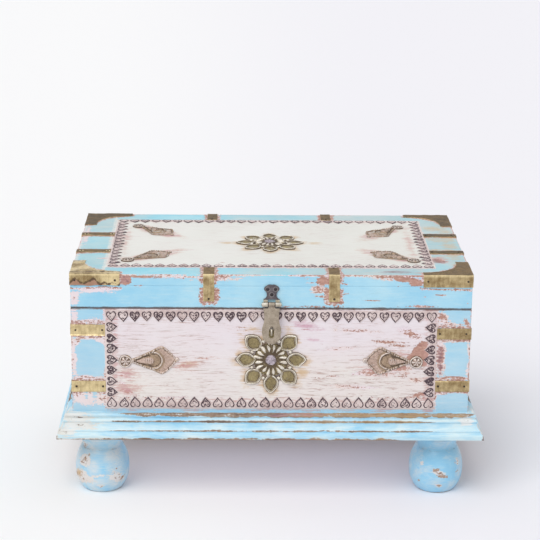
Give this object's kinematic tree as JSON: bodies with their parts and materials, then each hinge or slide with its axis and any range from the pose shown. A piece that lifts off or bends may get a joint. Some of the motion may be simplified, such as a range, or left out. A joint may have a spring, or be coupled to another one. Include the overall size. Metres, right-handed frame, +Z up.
{
  "type": "storage chest",
  "caption": "Low painted wooden storage chest with a hinged framed lid, hasp and staple, brass corner brackets and straps, pressed ornaments, a moulded plinth and turned feet.",
  "frame": {"origin": "on the floor under the middle of the chest's bounding box", "axes": "+X to the right seen from the front, +Y to the back where the lid is hinged, +Z up"},
  "size_m": [0.765, 0.485, 0.4239],
  "materials": {
    "blue_painted_wood": "sky blue paint worn through to a pinkish primer and bare wood",
    "pale_painted_wood": "streaky off-white paint with worn grain and blue borders",
    "bare_wood": "unpainted dry wood",
    "pressed_border": "pressed sheet, limewashed, with dark lines in the hollows",
    "pressed_brass": "aged brass with pale rubbed rims",
    "sheet_brass": "dull dented sheet",
    "dark_nail": "dark oxidised",
    "plated_steel": "worn bright",
    "dark_iron": "near black",
    "worn_steel": "grey-beige, aged"
  },
  "bodies": {
    "chest_body": {"back_board": "blue_painted_wood", "base_board": "bare_wood", "body_strap_nails": "dark_nail", "corner_straps_back_left": "sheet_brass", "corner_straps_back_right": "sheet_brass", "corner_straps_front_left": "sheet_brass", "corner_straps_front_right": "sheet_brass", "foot_back_left": "blue_painted_wood", "foot_back_right": "blue_painted_wood", "foot_front_left": "blue_painted_wood", "foot_front_right": "blue_painted_wood", "front_board": "pale_painted_wood", "front_heart_strip_bottom": "pressed_border", "front_heart_strip_left": "pressed_border", "front_heart_strip_right": "pressed_border", "front_heart_strip_top": "pressed_border", "front_leaf_left": "pressed_brass", "front_leaf_right": "pressed_brass", "front_rosette": "pressed_brass", "hinge_body_leaf_left": "sheet_brass", "hinge_body_leaf_right": "sheet_brass", "hinge_body_screws": "plated_steel", "hinge_pins": "plated_steel", "left_end_board": "blue_painted_wood", "plinth_moulding_back": "blue_painted_wood", "plinth_moulding_front": "blue_painted_wood", "plinth_moulding_left": "blue_painted_wood", "plinth_moulding_right": "blue_painted_wood", "right_end_board": "blue_painted_wood", "staple": "plated_steel"},
    "lid": {"corner_bracket_back_left": "sheet_brass", "corner_bracket_back_right": "sheet_brass", "corner_bracket_front_left": "sheet_brass", "corner_bracket_front_right": "sheet_brass", "hanger_screws": "dark_iron", "hasp_hanger": "dark_iron", "hasp_pin": "plated_steel", "hinge_lid_leaf_left": "sheet_brass", "hinge_lid_leaf_right": "sheet_brass", "hinge_lid_screws": "plated_steel", "lid_board": "pale_painted_wood", "lid_heart_strip_back": "pressed_border", "lid_heart_strip_front": "pressed_border", "lid_heart_strip_left": "pressed_border", "lid_heart_strip_right": "pressed_border", "lid_leaves_back": "pressed_brass", "lid_leaves_front": "pressed_brass", "lid_nails": "dark_nail", "lid_rail_back": "blue_painted_wood", "lid_rail_front": "blue_painted_wood", "lid_rail_left": "blue_painted_wood", "lid_rail_right": "blue_painted_wood", "lid_straps_back": "sheet_brass", "lid_straps_front": "sheet_brass", "lid_straps_left": "sheet_brass", "lid_straps_right": "sheet_brass", "top_rosette": "pressed_brass"},
    "hasp": {"hasp_plate": "worn_steel"}
  },
  "joints": [
    {"name": "lid_hinge", "type": "hinge", "parent": "chest_body", "child": "lid", "pos_m": [0, 0.219, 0.3563], "axis": [-1, 0, 0], "range_deg": [0, 105]},
    {"name": "hasp_hinge", "type": "hinge", "parent": "lid", "child": "hasp", "pos_m": [0, -0.222, 0.3656], "axis": [-1, 0, 0], "range_deg": [-15, 150]}
  ]
}
